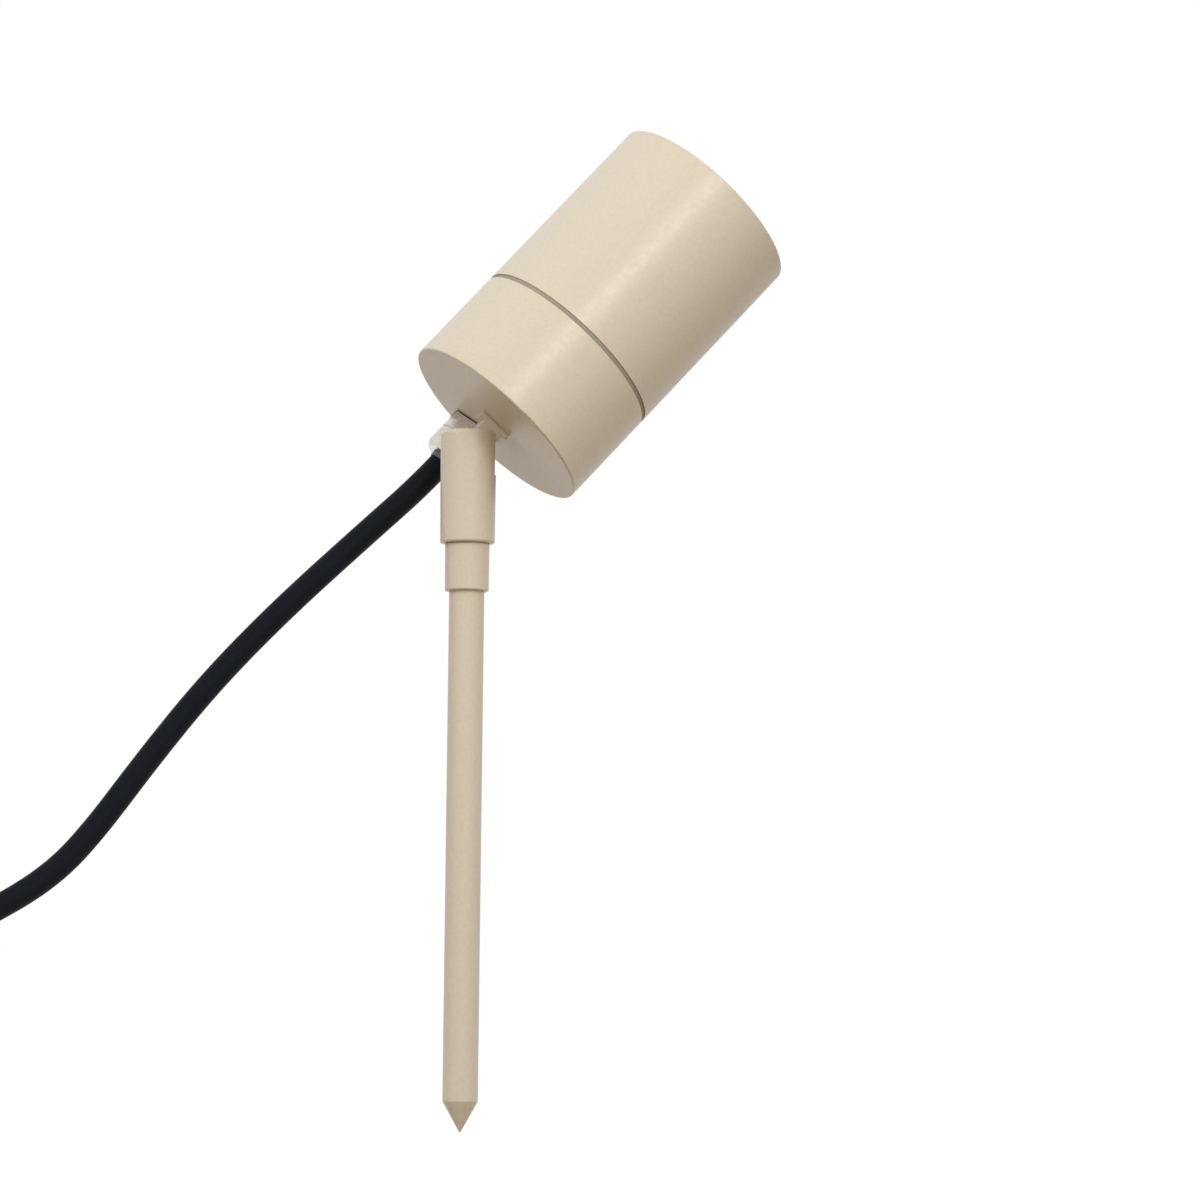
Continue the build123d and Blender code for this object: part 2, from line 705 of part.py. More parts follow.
with BuildPart() as terminal_screws:
    for x, y in screw_places:
        with Locations(on_head(x, y, block_top_s)):
            Cylinder(BLOCK_SCREW_R, BLOCK_SCREW, align=DOWN)
            Box(2 * BLOCK_SCREW_R, BLOCK_SLOT, BLOCK_SLOT, align=DOWN, mode=Mode.SUBTRACT)
save(terminal_screws, "terminal_screws")

earth_screw = socket_screw(
    on_head(EARTH_M, EARTH_T, CAP_FLOOR + EARTH_LUG),
    EARTH_R,
    EARTH_LUG + EARTH_GRIP,
    EARTH_LUG_R - EASE,
    EARTH_HEAD_H,
    EARTH_KEY_R,
    EARTH_KEY_DEPTH,
)
with earth_screw:
    with Locations(on_head(EARTH_M, EARTH_T, CAP_FLOOR)):
        Cylinder(EARTH_LUG_R, EARTH_LUG, align=UP)
save(earth_screw, "earth_screw")


def core_place(angle):
    """Where one wire leaves the cord's cut end inside the cap."""
    return (
        GLAND_M + WIRE_SPREAD_R * cos(radians(angle)),
        GLAND_T + WIRE_SPREAD_R * sin(radians(angle)),
    )


wire_arch_s = TAIL_INSIDE + 2 * WIRE_BEND
block_front_t = BLOCK_T + BLOCK_WIDTH / 2
block_rear_t = BLOCK_T - BLOCK_WIDTH / 2
for name, side, steps in (("wire_live", -1, 0), ("wire_neutral", 1, 1)):
    core_x, core_y = core_place(LIVE_CORE_TURN + steps * CORE_STEP)
    pole_x = side * BLOCK_PITCH
    wire, _ = tube_along(
        [
            head_point(core_x, core_y, TAIL_INSIDE),
            head_point(core_x, core_y, wire_arch_s),
            head_point(pole_x, block_front_t + 2 * BLOCK_WIDTH, wire_arch_s),
            head_point(pole_x, block_front_t + BLOCK_WIDTH, WIRE_S),
            head_point(pole_x, block_front_t, WIRE_S),
        ],
        WIRE_BEND,
        WIRE_R,
    )
    save(wire, name)

for name, side in (("lead_live", -1), ("lead_neutral", 1)):
    pole_x = side * BLOCK_PITCH
    wire, _ = tube_along(
        [
            head_point(pole_x, block_rear_t, WIRE_S),
            head_point(pole_x, LEAD_LOOP_T, WIRE_S),
            head_point(pole_x, LEAD_LOOP_T, LEAD_S),
            head_point(pole_x, HOLDER_FLAT_T, LEAD_S),
        ],
        WIRE_BEND,
        WIRE_R,
    )
    save(wire, name)

core_x, core_y = core_place(LIVE_CORE_TURN + 2 * CORE_STEP)
lug_s = CAP_FLOOR + EARTH_LUG / 2
to_lug_x, to_lug_y = EARTH_M - core_x, EARTH_T - core_y
lug_distance = sqrt(to_lug_x**2 + to_lug_y**2)


def toward_lug(distance_left, s):
    """Place above the line from the earth core to its lug."""
    share = 1 - distance_left / lug_distance
    return head_point(core_x + to_lug_x * share, core_y + to_lug_y * share, s)


wire, _ = tube_along(
    [
        head_point(core_x, core_y, TAIL_INSIDE),
        head_point(core_x, core_y, TAIL_INSIDE + WIRE_BEND + WIRE_R),
        toward_lug(EARTH_LUG_R + 4 * WIRE_BEND - WIRE_R, TAIL_INSIDE + WIRE_BEND + WIRE_R),
        toward_lug(EARTH_LUG_R + 2 * WIRE_BEND - WIRE_R, lug_s),
        toward_lug(EARTH_LUG_R, lug_s),
    ],
    WIRE_BEND - 2 * WIRE_R / 3,
    WIRE_R,
)
save(wire, "wire_earth")

# ---- cable gland --------------------------------------------------------------------------

gland_axis_plane = on_head(GLAND_M, GLAND_T, 0, facing_back=True)
gland_section = Plane(origin=gland_axis_plane.origin, x_dir=across, z_dir=(0, -1, 0))
gland_axis = Axis(gland_axis_plane.origin, along)
hex_top_s = -(GLAND_ORING + GLAND_HEX)
drum_end_s = hex_top_s - GLAND_DRUM
sleeve_end_s = GLAND_END_S - GLAND_SLEEVE
nut_end_s = GLAND_END_S - NUT_LENGTH

gland_body = turned(
    gland_section,
    gland_axis,
    [
        (GLAND_BORE_R, CAP_FLOOR),
        (GLAND_THREAD_R, CAP_FLOOR),
        (GLAND_THREAD_R, hex_top_s),
        (GLAND_DRUM_R, hex_top_s),
        (GLAND_DRUM_R, drum_end_s),
        (GLAND_NECK_R, drum_end_s),
        (GLAND_NECK_R, GLAND_END_S),
        (GLAND_SLEEVE_R, GLAND_END_S),
        (GLAND_SLEEVE_R, sleeve_end_s),
        (GLAND_SEAL_R, sleeve_end_s),
        (GLAND_SEAL_R, -SEAL_ROOT),
        (GLAND_BORE_R, -SEAL_ROOT),
    ],
)
with gland_body:
    with BuildSketch(gland_axis_plane.offset(GLAND_ORING)) as hexagon:
        RegularPolygon(GLAND_HEX_R, 6, rotation=-GLAND_TURN)
        Circle(GLAND_THREAD_R, mode=Mode.SUBTRACT)
    extrude(hexagon.sketch, amount=GLAND_HEX)
save(gland_body, "gland_body")

with BuildPart() as gland_oring:
    with BuildSketch(gland_axis_plane):
        Circle(GLAND_ORING_R)
        Circle(GLAND_THREAD_R + SEAT, mode=Mode.SUBTRACT)
    extrude(amount=GLAND_ORING)
save(gland_oring, "gland_oring")

gland_seal = turned(
    gland_section,
    gland_axis,
    [
        (CORD_R + CORD_GRIP, -SEAL_ROOT),
        (GLAND_SEAL_R - SEAT, -SEAL_ROOT),
        (GLAND_SEAL_R - SEAT, sleeve_end_s),
        (SEAL_NOSE_R, sleeve_end_s - SEAL_SHOULDER),
        (SEAL_NOSE_R, -SEAL_REACH + SEAL_EDGE),
        (SEAL_NOSE_R - SEAL_EDGE, -SEAL_REACH),
        (CORD_R + CORD_GRIP, -SEAL_REACH),
    ],
)
save(gland_seal, "gland_seal")

gland_nut = turned(
    gland_section,
    gland_axis,
    [
        (GLAND_SLEEVE_R + SEAT, GLAND_END_S),
        (GLAND_DRUM_R, GLAND_END_S),
        (GLAND_DRUM_R, nut_end_s + NUT_NOSE),
        (NUT_NOSE_R, nut_end_s),
        (NUT_MOUTH_R, nut_end_s),
        (NUT_MOUTH_R, nut_end_s + NUT_ROOF),
        (GLAND_SLEEVE_R + SEAT, nut_end_s + NUT_ROOF),
    ],
)
save(gland_nut, "gland_nut")

with BuildPart() as cable_tail:
    with Locations(on_head(GLAND_M, GLAND_T, -SEAL_REACH)):
        Cylinder(CORD_R, SEAL_REACH + TAIL_INSIDE, align=UP)
save(cable_tail, "cable_tail")

# ---- cord ---------------------------------------------------------------------------------

cord_exit = head_point(GLAND_M, GLAND_T, -SEAL_REACH)
first_bend = cord_exit - along * FIRST_RUN
low_z = GROUND_Z + TIE + TIE_GAP + CORD_R
high_z = low_z + HANK_STEP
cord_points = [cord_exit, first_bend]
cord_points += [Vector(x, CORD_Y, z) for x, z in CORD_BENDS]
cord_points += [Vector(x, CORD_Y + drift, z) for x, z, drift in CORD_DESCENT]
cord_points.append(Vector(CORD_LANDING_X, HANK_TOP_Y, high_z))
cord_points.append(Vector(CORD_LANDING_X - CORD_LAST_RUN, HANK_TOP_Y, high_z))


def bend_radius(before, corner, after):
    """Radius of the arc that takes up a steady share of the shorter run at a corner."""
    run_in, run_out = corner - before, after - corner
    half_turn = radians(run_in.get_angle(run_out)) / 2
    return BEND_SHARE * min(run_in.length, run_out.length) / tan(half_turn)


cord_radii = [bend_radius(*cord_points[i - 1 : i + 2]) for i in range(1, len(cord_points) - 1)]
cord, cord_length = tube_along(cord_points, cord_radii, CORD_R)
save(cord, "cord")
print("cord bend radii:", [round(r, 1) for r in cord_radii])
print("cord length", round(cord_length, 1), "volume share", cord.part.volume / (pi * CORD_R**2 * cord_length))

# ---- hank ---------------------------------------------------------------------------------

hank_start = cord_points[-1]
hank_y = HANK_TOP_Y - HANK_R
hank_right_x = HANK_LEFT_X + HANK_RUN
waist_x = HANK_LEFT_X + HANK_RUN / 2
plug_axis_z = GROUND_Z + PLUG_R

# How far each run lies from the hank's middle line: a layer wound inwards, then one outwards
inward_runs = []
for loop in range(HANK_LOOPS):
    inward_runs += [HANK_R - loop * HANK_STEP, loop * HANK_STEP - HANK_R]
run_offsets = inward_runs + inward_runs[-2::-1]
last_high_run = len(inward_runs) - 1


def hank_nodes():
    """Places and directions at the ends and the waist of each run; the last high run climbs down."""
    nodes = [(Vector(HANK_LEFT_X, HANK_TOP_Y, high_z), Vector(-1, 0, 0))]
    for i, offset in enumerate(run_offsets[1:], start=1):
        way = Vector(1, 0, 0) if i % 2 else Vector(-1, 0, 0)
        ends_x = (HANK_LEFT_X, hank_right_x) if i % 2 else (hank_right_x, HANK_LEFT_X)
        start_z = high_z if i <= last_high_run else low_z
        end_z = high_z if i < last_high_run else low_z
        drawn = offset - WAIST_DRAW if offset > 0 else offset + WAIST_DRAW
        nodes.append((Vector(ends_x[0], hank_y + offset, start_z), way))
        nodes.append((Vector(waist_x, hank_y + drawn, (start_z + end_z) / 2), way))
        nodes.append((Vector(ends_x[1], hank_y + offset, end_z), way))
    return nodes


def biarc(start, start_way, end, end_way):
    """Two tangent arcs from one place and direction to another."""
    chord = end - start
    ways = start_way + end_way
    bend = 2 * (1 - start_way.dot(end_way))
    if bend < 1e-9:
        reach = chord.dot(chord) / (2 * chord.dot(ways))
    else:
        reach = (-chord.dot(ways) + sqrt(chord.dot(ways) ** 2 + bend * chord.dot(chord))) / bend
    near, far = start + start_way * reach, end - end_way * reach
    middle = (near + far) * 0.5
    TangentArc(start, middle, tangent=start_way)
    TangentArc(middle, end, tangent=(far - near).normalized())


nodes = hank_nodes()
lead_start = nodes[-1][0] - Vector(LEAD_STRAIGHT, 0, 0)
lead_end = Vector(lead_start.X - LEAD_BEND, PLUG_Y, plug_axis_z)
relief_tip = lead_end - Vector(2 * CORD_R, 0, 0)

with BuildPart() as cord_hank:
    with BuildLine() as winding:
        Line(hank_start, nodes[0][0])
        for (start, start_way), (end, end_way) in zip(nodes, nodes[1:]):
            biarc(start, start_way, end, end_way)
        Line(nodes[-1][0], lead_start)
        biarc(lead_start, Vector(-1, 0, 0), lead_end, Vector(-1, 0, 0))
        Line(lead_end, relief_tip)
    with BuildSketch(Plane(origin=hank_start, z_dir=(-1, 0, 0))):
        Circle(CORD_R)
    sweep(path=winding.wires()[0])
save(cord_hank, "cord_hank")

hank_wire = winding.wires()[0]
sample_count = 720
samples = [hank_wire @ (i / sample_count) for i in range(sample_count + 1)]
apart = int(2 * HANK_R / hank_wire.length * sample_count)
gaps = [
    (samples[i] - samples[j]).length
    for i in range(sample_count + 1)
    for j in range(i + apart, sample_count + 1)
]
print("hank least gap to itself:", round(min(gaps) - 2 * CORD_R, 3))
print("hank length", round(hank_wire.length, 1), end=" ")
print("volume share", cord_hank.part.volume / (pi * CORD_R**2 * hank_wire.length))
print("cord total", round(cord_length + hank_wire.length, 1))

# The tie goes round the waist: the runs at its corners set its outline
outer_waist = HANK_R - WAIST_DRAW
tie_corners = [
    (hank_y + outer_waist, low_z),
    (hank_y + outer_waist - HANK_STEP, high_z),
    (hank_y - outer_waist, high_z),
    (hank_y - outer_waist, low_z),
]
tie_plane = Plane(origin=(waist_x, 0, 0), x_dir=(0, 1, 0), z_dir=(1, 0, 0))


def waist_hull(radius):
    """Outline round the hank's corner runs at the waist."""
    with BuildSketch(tie_plane) as outline:
        with BuildLine():
            for corner in tie_corners:
                CenterArc(corner, radius, 0, 360)
        make_hull()
    return outline


inner_outline = waist_hull(CORD_R + TIE_GAP)
outer_outline = waist_hull(CORD_R + TIE_GAP + TIE)
with BuildPart() as cord_tie:
    extrude(outer_outline.sketch, amount=TIE_WIDTH / 2, both=True)
    extrude(inner_outline.sketch, amount=TIE_WIDTH / 2, both=True, mode=Mode.SUBTRACT)
save(cord_tie, "cord_tie")

# ---- plug ---------------------------------------------------------------------------------

relief_plane = Plane(origin=relief_tip, x_dir=(0, 1, 0), z_dir=(-1, 0, 0))
plug_axis = Axis(relief_tip, (-1, 0, 0))

with BuildPart() as plug_relief:
    with Locations(relief_plane):
        Cone(PLUG_RELIEF_TIP_R, PLUG_RELIEF_R, PLUG_RELIEF, align=UP)
    groove_pitch = PLUG_RELIEF / (RELIEF_RIBS + 1)
    for i in range(1, RELIEF_RIBS + 1):
        height = i * groove_pitch
        surface_r = PLUG_RELIEF_TIP_R + (PLUG_RELIEF_R - PLUG_RELIEF_TIP_R) * height / PLUG_RELIEF
        with Locations(relief_plane.offset(height)):
            with BuildSketch(relief_plane.offset(height)):
                Circle(2 * PLUG_RELIEF_R)
                Circle(surface_r - RELIEF_GROOVE_DEPTH, mode=Mode.SUBTRACT)
            extrude(amount=RELIEF_GROOVE, mode=Mode.SUBTRACT)
save(plug_relief, "plug_relief")

plug_back = relief_plane.offset(PLUG_RELIEF)
plug_face = plug_back.offset(PLUG_LENGTH)
with BuildPart() as plug_body:
    with Locations(plug_back):
        Cone(PLUG_BACK_R, PLUG_R, PLUG_LENGTH - PLUG_DRUM, align=UP)
    with Locations(plug_face):
        Cylinder(PLUG_R, PLUG_DRUM, align=DOWN)
    fillet(plug_body.edges().filter_by(GeomType.CIRCLE).sort_by(plug_axis)[-1], PLUG_EDGE)
    with BuildSketch(plug_face):
        for side in (-1, 1):
            with Locations((0, side * PLUG_R)):
                Rectangle(CLIP_WIDTH + 2 * EASE, 2 * CLIP_RECESS)
    extrude(amount=-CLIP_LENGTH, mode=Mode.SUBTRACT)
    with BuildSketch(plug_face):
        with GridLocations(PLUG_PIN_SPACING, 0, 2, 1):
            Circle(PLUG_PIN_R + SEAT)
    extrude(amount=-PLUG_PIN_ROOT, mode=Mode.SUBTRACT)
save(plug_body, "plug_body")

with BuildPart() as plug_pins:
    with BuildSketch(plug_face.offset(-PLUG_PIN_ROOT)):
        with GridLocations(PLUG_PIN_SPACING, 0, 2, 1):
            Circle(PLUG_PIN_R)
    extrude(amount=PLUG_PIN_ROOT + PLUG_PIN_LENGTH)
    fillet(plug_pins.edges().filter_by(GeomType.CIRCLE).group_by(plug_axis)[-1], PLUG_PIN_R * 0.6)
save(plug_pins, "plug_pins")

with BuildPart() as plug_earth_clips:
    with BuildSketch(plug_face):
        for side in (-1, 1):
            with Locations((0, side * (PLUG_R - CLIP_RECESS + CLIP / 2))):
                Rectangle(CLIP_WIDTH, CLIP)
    extrude(amount=-CLIP_LENGTH)
save(plug_earth_clips, "plug_earth_clips")
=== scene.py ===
import json
from math import cos, pi, radians, sin

import bpy
from mathutils import Matrix, Vector


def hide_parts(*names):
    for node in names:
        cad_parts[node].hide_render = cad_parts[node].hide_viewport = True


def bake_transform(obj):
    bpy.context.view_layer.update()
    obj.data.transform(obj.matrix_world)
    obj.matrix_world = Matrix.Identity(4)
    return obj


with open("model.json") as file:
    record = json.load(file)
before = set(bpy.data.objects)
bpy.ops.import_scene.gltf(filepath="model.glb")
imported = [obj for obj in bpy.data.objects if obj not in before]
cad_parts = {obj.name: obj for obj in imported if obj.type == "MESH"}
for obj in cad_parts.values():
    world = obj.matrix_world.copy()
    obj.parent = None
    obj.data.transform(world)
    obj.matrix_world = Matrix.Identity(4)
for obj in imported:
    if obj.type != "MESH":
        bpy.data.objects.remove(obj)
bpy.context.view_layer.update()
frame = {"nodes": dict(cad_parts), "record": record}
nodes = frame["nodes"]

# Metres, in the model's own frame: Z up along the spike, X the side the head leans to,
# Y along the tilt axis and away from the camera.

MM = 0.001

# ---- camera, fitted to the photo ------------------------------------------------------------

CAMERA_PLACE = (-0.34906, -1.40989, -0.00052)
CAMERA_AZIMUTH = 15.41  # degrees from +Y towards +X
CAMERA_RISE = 5.649  # degrees that it looks up
CAMERA_ROLL = 0.598
CAMERA_LENS = 153.1
SENSOR = 36.0

# ---- head frame -----------------------------------------------------------------------------

HEAD_ELEVATION = radians(47.33)
ALONG = Vector((cos(HEAD_ELEVATION), 0, sin(HEAD_ELEVATION)))
ACROSS = Vector((sin(HEAD_ELEVATION), 0, -cos(HEAD_ELEVATION)))
SIDEWAYS = Vector((0, 1, 0))
PIVOT = Vector((0, 0, 185.5 * MM))
BACK_CENTRE = PIVOT + ALONG * 10.8 * MM + SIDEWAYS * -2.0 * MM

GROUND_Z = -8.6 * MM

# ---- cord -----------------------------------------------------------------------------------

CORD_R = 3.6 * MM
CORD_FIRST_RUN = 10 * MM
GLAND_PLACE = (-1.7 * MM, 21.0 * MM)
GLAND_REACH = 14.3 * MM
# X and Z of the bends in the cord's upright plane, in millimetres, from the gland outwards
CORD_BENDS = [
    (-23.5, 164.7),
    (-50.0, 139.8),
    (-70.7, 117.8),
    (-87.7, 96.1),
    (-102.8, 75.3),
    (-114.0, 62.9),
    (-130.0, 52.3),
]
# X, Z and drift along Y of the bends after it
CORD_DESCENT = [
    (-162.0, 36.4, 0.8),
    (-199.0, 18.8, 3.0),
]
CORD_LANDING_X = -231.0 * MM
CORD_LAST_RUN = 34.0 * MM

# Hank of put-away cord: two layers of long loops, wound inwards and then outwards
HANK_R = 29.9 * MM
HANK_STEP = 8.1 * MM
HANK_LOOPS = 2
HANK_LEFT_X = -274.5 * MM
HANK_RUN = 99.0 * MM
HANK_TOP_Y = 24.4 * MM
WAIST_DRAW = 8.0 * MM
FOLD_POINTS = 8  # points of the route round each fold
TIE_SPACE = 1.3 * MM
LOW_Z = GROUND_Z + TIE_SPACE + CORD_R
HIGH_Z = LOW_Z + HANK_STEP
LEAD_STRAIGHT = 14.0 * MM
LEAD_BEND = 45.0 * MM
PLUG_Y = 8.8 * MM
PLUG_AXIS_Z = GROUND_Z + 19 * MM


def on_head(across, sideways, along):
    """Place in the model's frame from one in the head's frame."""
    return BACK_CENTRE + ACROSS * across + SIDEWAYS * sideways + ALONG * along


# ---- materials ------------------------------------------------------------------------------


def linear(colour):
    """Linear RGBA from 8-bit screen values."""
    return [((c / 255 + 0.055) / 1.055) ** 2.4 if c > 10 else c / 255 / 12.92 for c in colour] + [1.0]


class Surface:
    """A Principled material whose colour, and where asked its roughness and relief, vary with noise."""

    def __init__(self, name, roughness, metallic=0.0):
        self.material = bpy.data.materials.new(name)
        self.material.use_nodes = True
        self.tree = self.material.node_tree
        self.shader = self.tree.nodes["Principled BSDF"]
        self.shader.inputs["Roughness"].default_value = roughness
        self.shader.inputs["Metallic"].default_value = metallic
        self.place = self.tree.nodes.new("ShaderNodeTexCoord").outputs["Object"]

    def node(self, kind, **values):
        made = self.tree.nodes.new(kind)
        for key, value in values.items():
            setattr(made, key, value)
        return made

    def link(self, out, into):
        self.tree.links.new(out, into)

    def noise(self, size, detail=3.0):
        """Noise value whose features are about the given size across."""
        made = self.node("ShaderNodeTexNoise")
        made.inputs["Scale"].default_value = 1 / size
        made.inputs["Detail"].default_value = detail
        self.link(self.place, made.inputs["Vector"])
        return made.outputs["Fac"]

    def spread(self, value, low, high):
        """Map the middle of a noise value onto a range."""
        made = self.node("ShaderNodeMapRange")
        made.inputs["From Min"].default_value = 0.3
        made.inputs["From Max"].default_value = 0.7
        made.inputs["To Min"].default_value = low
        made.inputs["To Max"].default_value = high
        self.link(value, made.inputs["Value"])
        return made.outputs["Result"]

    def colours(self, low, high, size):
        """Colour drifting between two screen colours."""
        mix = self.node("ShaderNodeMix", data_type="RGBA")
        mix.inputs["A"].default_value = linear(low)
        mix.inputs["B"].default_value = linear(high)
        self.link(self.spread(self.noise(size), 0.0, 1.0), mix.inputs["Factor"])
        self.link(mix.outputs["Result"], self.shader.inputs["Base Color"])
        return self

    def gloss(self, low, high, size):
        self.link(self.spread(self.noise(size), low, high), self.shader.inputs["Roughness"])
        return self

    def relief(self, size, depth, strength=1.0, detail=2.0):
        bump = self.node("ShaderNodeBump")
        bump.inputs["Distance"].default_value = depth
        bump.inputs["Strength"].default_value = strength
        self.link(self.noise(size, detail), bump.inputs["Height"])
        self.link(bump.outputs["Normal"], self.shader.inputs["Normal"])
        return self

    def set(self, **inputs):
        for key, value in inputs.items():
            self.shader.inputs[key.replace("_", " ")].default_value = value
        return self


paint = Surface("sand_paint", 0.5)
paint.colours((210, 199, 178), (215, 204, 183), 1.2 * MM)
paint.gloss(0.31, 0.39, 2 * MM)
paint.relief(0.6 * MM, 0.03 * MM, 0.7)
paint.set(Specular_IOR_Level=0.45)

nickel = Surface("nickel_brass", 0.3, metallic=1.0)
nickel.colours((205, 199, 188), (216, 211, 202), 3 * MM)
nickel.gloss(0.24, 0.34, 1.5 * MM)
nickel.relief(0.5 * MM, 0.004 * MM, 0.5)

steel = Surface("stainless", 0.3, metallic=1.0)
steel.colours((170, 170, 168), (190, 190, 188), 2 * MM)
steel.gloss(0.25, 0.38, 1 * MM)

rubber = Surface("black_rubber", 0.6)
rubber.colours((14, 18, 23), (19, 23, 29), 8 * MM)
rubber.gloss(0.52, 0.66, 4 * MM)
rubber.set(Specular_IOR_Level=0.08)
rubber.relief(1.2 * MM, 0.02 * MM, 0.5)

seam_rubber = Surface("seam_rubber", 0.8)
seam_rubber.colours((150, 143, 127), (158, 150, 134), 4 * MM)

strap = Surface("black_strap", 0.95)
strap.colours((30, 30, 32), (42, 42, 44), 1 * MM)
strap.relief(0.8 * MM, 0.2 * MM, 0.8)

grey_rubber = Surface("grey_rubber", 0.6)
grey_rubber.colours((84, 88, 96), (98, 101, 106), 3 * MM)

glass = Surface("clear_glass", 0.02)
glass.colours((246, 250, 249), (252, 253, 253), 20 * MM)
glass.set(Transmission_Weight=1.0, IOR=1.5)

lens_pattern = Surface("patterned_glass", 0.3)
lens_pattern.colours((226, 232, 232), (240, 243, 242), 2 * MM)
lens_pattern.gloss(0.3, 0.45, 2.4 * MM)
lens_pattern.relief(2.4 * MM, 0.25 * MM, 0.5, detail=0.0)
lens_pattern.set(Transmission_Weight=0.55, IOR=1.5)

lamp_white = Surface("lamp_plastic", 0.3)
lamp_white.colours((222, 221, 216), (232, 231, 227), 8 * MM)

ceramic = Surface("ceramic_white", 0.6)
ceramic.colours((226, 221, 210), (236, 232, 224), 3 * MM)

brass = Surface("brass", 0.3, metallic=1.0)
brass.colours((196, 160, 92), (212, 178, 112), 2 * MM)

bush = Surface("bush_plastic", 0.4)
bush.colours((26, 26, 27), (34, 34, 35), 2 * MM)

wire_brown = Surface("wire_brown", 0.35)
wire_brown.colours((104, 60, 36), (120, 70, 44), 4 * MM)

wire_blue = Surface("wire_blue", 0.35)
wire_blue.colours((38, 92, 170), (46, 104, 184), 4 * MM)

wire_earth = Surface("wire_green_yellow", 0.35)
wire_earth.colours((92, 150, 40), (214, 198, 50), 2 * MM)

SURFACES = {
    "sand_paint": paint,
    "nickel_brass": nickel,
    "stainless": steel,
    "black_rubber": rubber,
    "black_strap": strap,
    "grey_rubber": grey_rubber,
    "clear_glass": glass,
    "lamp_plastic": lamp_white,
    "ceramic_white": ceramic,
    "brass": brass,
    "bush_plastic": bush,
    "wire_brown": wire_brown,
    "wire_blue": wire_blue,
    "wire_green_yellow": wire_earth,
}
OWN_SURFACE = {"seam_gasket": seam_rubber, "lamp_lens": lens_pattern}

# ---- frame pieces shown as they are ---------------------------------------------------------

SMOOTH_BELOW = radians(32)


def dress(piece, surface):
    """Give a piece its material and smooth shading over its round stretches."""
    piece.data.materials.clear()
    piece.data.materials.append(surface.material)
    if piece.type == "MESH":
        piece.data.shade_smooth()
        piece.data.set_sharp_from_angle(angle=SMOOTH_BELOW)


for subpart in frame["record"]["subparts"]:
    name, slot_name = subpart["node"], subpart["material_slot"]
    surface = OWN_SURFACE.get(name, SURFACES[slot_name])
    dress(nodes[name], surface)

# ---- cord and hank --------------------------------------------------------------------------

cord_exit = on_head(*GLAND_PLACE, -GLAND_REACH)
cord_y = cord_exit.y


def fold_points(start, end, way):
    """Points round a half circle that bulges the given way, just outside the smooth line."""
    centre = (start + end) / 2
    side = start - centre
    step = pi / FOLD_POINTS
    for i in range(FOLD_POINTS):
        angle = (i + 0.5) * step
        yield centre + (side * cos(angle) + way * side.length * sin(angle)) / cos(step / 2)


def shift_points(start, end, way):
    """The two points at which a run leaves its line for the one beside it and joins that."""
    across_gap = end - start
    reach = way * across_gap.length_squared / (4 * across_gap.dot(way))
    return [start + reach, end - reach]


def hank_points(place):
    """Points of the hank from its first fold on: loops inwards, a climb along a run, loops outwards."""
    inward = []
    for loop in range(HANK_LOOPS):
        inward += [HANK_R - loop * HANK_STEP, loop * HANK_STEP - HANK_R]
    offsets = inward + inward[-2::-1]
    middle_y = HANK_TOP_Y - HANK_R
    ends = (HANK_LEFT_X, HANK_LEFT_X + HANK_RUN)
    for i, offset in enumerate(offsets[1:], start=1):
        near_x, far_x = ends if i % 2 else reversed(ends)
        way = Vector((1 if i % 2 else -1, 0, 0))
        start = Vector((near_x, middle_y + offset, place.z))
        end = Vector((far_x, middle_y + offset, HIGH_Z if i < len(inward) - 1 else LOW_Z))
        waist = (start + end) / 2
        waist.y -= WAIST_DRAW if offset > 0 else -WAIST_DRAW
        yield from fold_points(place, start, -way)
        yield from shift_points(start, waist, way)
        yield from shift_points(waist, end, way)
        place = end


cord_route = [cord_exit, cord_exit - ALONG * CORD_FIRST_RUN]
cord_route += [Vector((x * MM, cord_y, z * MM)) for x, z in CORD_BENDS]
cord_route += [Vector((x * MM, cord_y + drift * MM, z * MM)) for x, z, drift in CORD_DESCENT]
cord_route.append(Vector((CORD_LANDING_X, HANK_TOP_Y, HIGH_Z)))
cord_route.append(Vector((CORD_LANDING_X - CORD_LAST_RUN, HANK_TOP_Y, HIGH_Z)))
cord_route += hank_points(Vector((HANK_LEFT_X, HANK_TOP_Y, HIGH_Z)))

lead_start = Vector((HANK_LEFT_X - LEAD_STRAIGHT, HANK_TOP_Y, LOW_Z))
lead_end = Vector((lead_start.x - LEAD_BEND, PLUG_Y, PLUG_AXIS_Z))
cord_route += shift_points(lead_start, lead_end, Vector((-1, 0, 0)))
cord_route += [lead_end, lead_end - Vector((2 * CORD_R, 0, 0))]


def smooth_line(name, route, radius, steps=6):
    """Mesh of a NURBS line through the bends of a route: a tube, or a bare line with no radius."""
    curve = bpy.data.curves.new(name, "CURVE")
    curve.dimensions = "3D"
    curve.bevel_depth = radius
    curve.bevel_resolution = 6
    curve.resolution_u = steps
    curve.use_fill_caps = radius > 0
    spline = curve.splines.new("NURBS")
    spline.points.add(len(route) - 1)
    for point, place in zip(spline.points, route):
        point.co = (*place, 1)
    spline.order_u = 3
    spline.use_endpoint_u = True
    holder = bpy.data.objects.new(name, curve)
    bpy.context.scene.collection.objects.link(holder)
    bpy.context.view_layer.update()
    mesh = bpy.data.meshes.new_from_object(holder.evaluated_get(bpy.context.evaluated_depsgraph_get()))
    bpy.data.objects.remove(holder)
    return mesh


